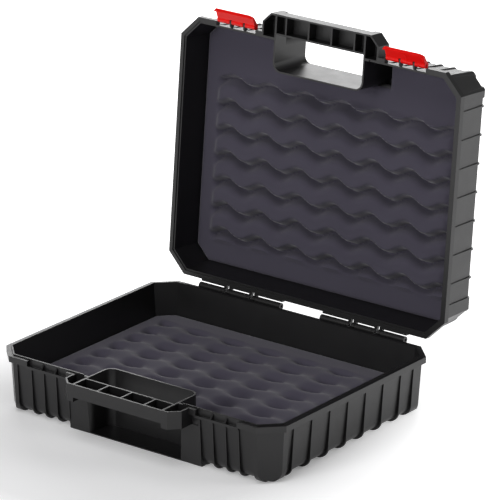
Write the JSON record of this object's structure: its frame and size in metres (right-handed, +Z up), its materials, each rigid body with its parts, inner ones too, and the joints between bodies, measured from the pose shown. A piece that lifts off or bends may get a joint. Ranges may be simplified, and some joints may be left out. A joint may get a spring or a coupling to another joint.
{
  "type": "hard tool case",
  "caption": "Ribbed plastic carrying case that opens on two rear hinges, with a grip moulded into both halves, latches that hook under the lower rim and wave foam pads inside",
  "frame": {"origin": "centre of the footprint of the lower shell's rim, on the plane of its feet", "axes": "X runs along the hinge to the right as seen from the handle, Y from the handle to the hinge, Z up"},
  "size_m": [0.384, 0.4206, 0.3976],
  "materials": {
    "shell_plastic": "black polypropylene with a fine satin texture",
    "latch_plastic": "glossy red",
    "foam": "dark grey open cell foam",
    "pin_steel": "plain drawn wire"
  },
  "bodies": {
    "base": {"base_shell": "shell_plastic", "base_pad": "foam", "hinge_pin_left": "pin_steel", "hinge_pin_right": "pin_steel"},
    "lid": {"lid_shell": "shell_plastic", "lid_pad": "foam", "latch_pin_left": "pin_steel", "latch_pin_right": "pin_steel"},
    "latch_left": {"latch_left": "latch_plastic"},
    "latch_right": {"latch_right": "latch_plastic"}
  },
  "joints": [
    {"name": "lid_hinge", "type": "hinge", "parent": "base", "child": "lid", "pos_m": [0, 0.158, 0.067], "axis": [1, 0, 0], "range_deg": [0, 95]},
    {"name": "latch_left_pivot", "type": "hinge", "parent": "lid", "child": "latch_left", "pos_m": [-0.116, 0.18933, 0.37695], "axis": [1, 0, 0], "range_deg": [-24, 66]},
    {"name": "latch_right_pivot", "type": "hinge", "parent": "lid", "child": "latch_right", "pos_m": [0.116, 0.18933, 0.37695], "axis": [1, 0, 0], "range_deg": [-24, 66]}
  ]
}
